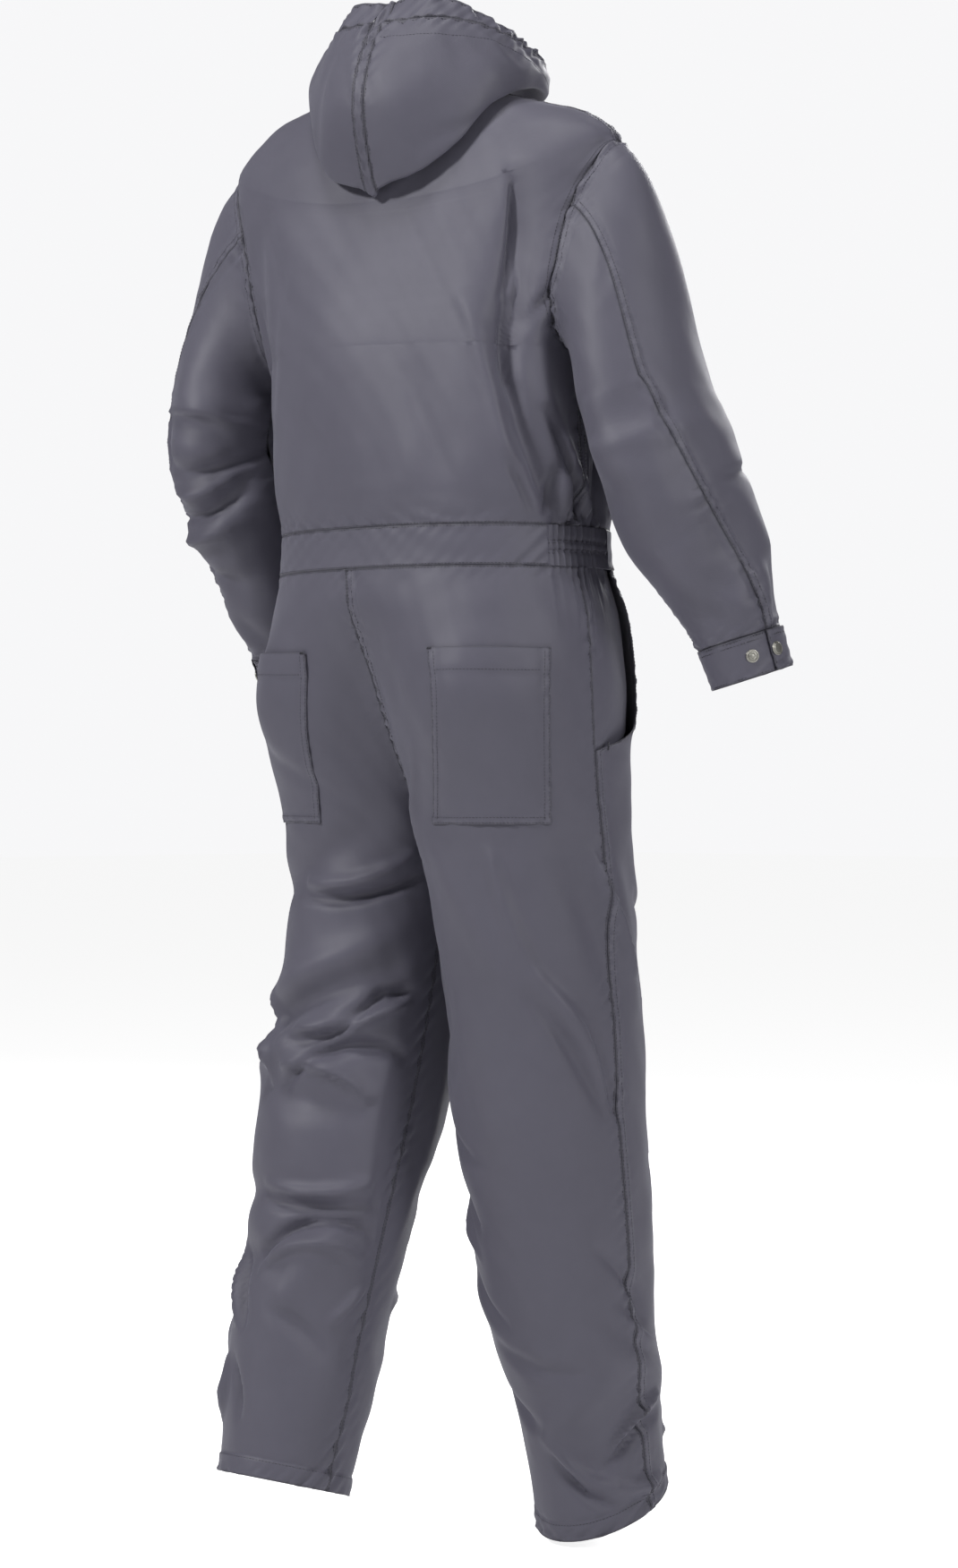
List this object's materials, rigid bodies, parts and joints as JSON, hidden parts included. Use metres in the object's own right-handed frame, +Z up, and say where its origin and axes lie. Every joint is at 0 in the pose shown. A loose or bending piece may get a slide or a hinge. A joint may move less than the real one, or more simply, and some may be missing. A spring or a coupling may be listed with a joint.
{
  "type": "boiler suit",
  "caption": "Hooded boiler suit in dark slate grey twill, worn and hollow, with an elastic waistband, patch and side pockets, snap cuffs, a front zip and the hood lying back.",
  "frame": {"origin": "mount wearer_shoulders: on the garment's upright axis between the shoulders, at the level where the shoulder seams carry it, 1.56 m above the ground the wearer stands on", "axes": "+Z up, -Y toward the front with the zip, +X toward the wearer's left"},
  "size_m": [0.7119, 0.4146, 1.6511],
  "materials": {
    "cloth": "matt twill with a faint sheen",
    "zip_tape": "matt woven tape",
    "snap_metal": "aged nickel plate",
    "zip_metal": "satin"
  },
  "bodies": {
    "garment": {"back_body": "cloth", "front_body_left": "cloth", "front_body_right": "cloth", "sleeve_top_left": "cloth", "sleeve_top_right": "cloth", "sleeve_under_left": "cloth", "sleeve_under_right": "cloth", "cuff_left": "cloth", "cuff_right": "cloth", "hood_left": "cloth", "hood_right": "cloth", "hood_centre_strip": "cloth", "hood_rim_left": "cloth", "hood_rim_right": "cloth", "waistband_back": "cloth", "waist_elastic_left": "cloth", "waist_elastic_right": "cloth", "waistband_front_left": "cloth", "waistband_front_right": "cloth", "trouser_back_left": "cloth", "trouser_back_right": "cloth", "trouser_front_left": "cloth", "trouser_front_right": "cloth", "side_pocket_facing_left": "cloth", "side_pocket_facing_right": "cloth", "back_pocket_left": "cloth", "back_pocket_right": "cloth", "zip_tape_left": "zip_tape", "zip_tape_right": "zip_tape", "cuff_snap_cap_left": "snap_metal", "cuff_snap_cap_right": "snap_metal", "cuff_snap_stud_left": "snap_metal", "cuff_snap_stud_right": "snap_metal", "zip_slider": "zip_metal"},
    "pull_tab": {"zip_pull": "zip_metal"}
  },
  "joints": [
    {"name": "pull_hinge", "type": "hinge", "parent": "garment", "child": "pull_tab", "pos_m": [0.0277, -0.0693, -0.07731], "axis": [-0.9782, -0.2076, -0.0018], "range_deg": [0, 150]}
  ]
}
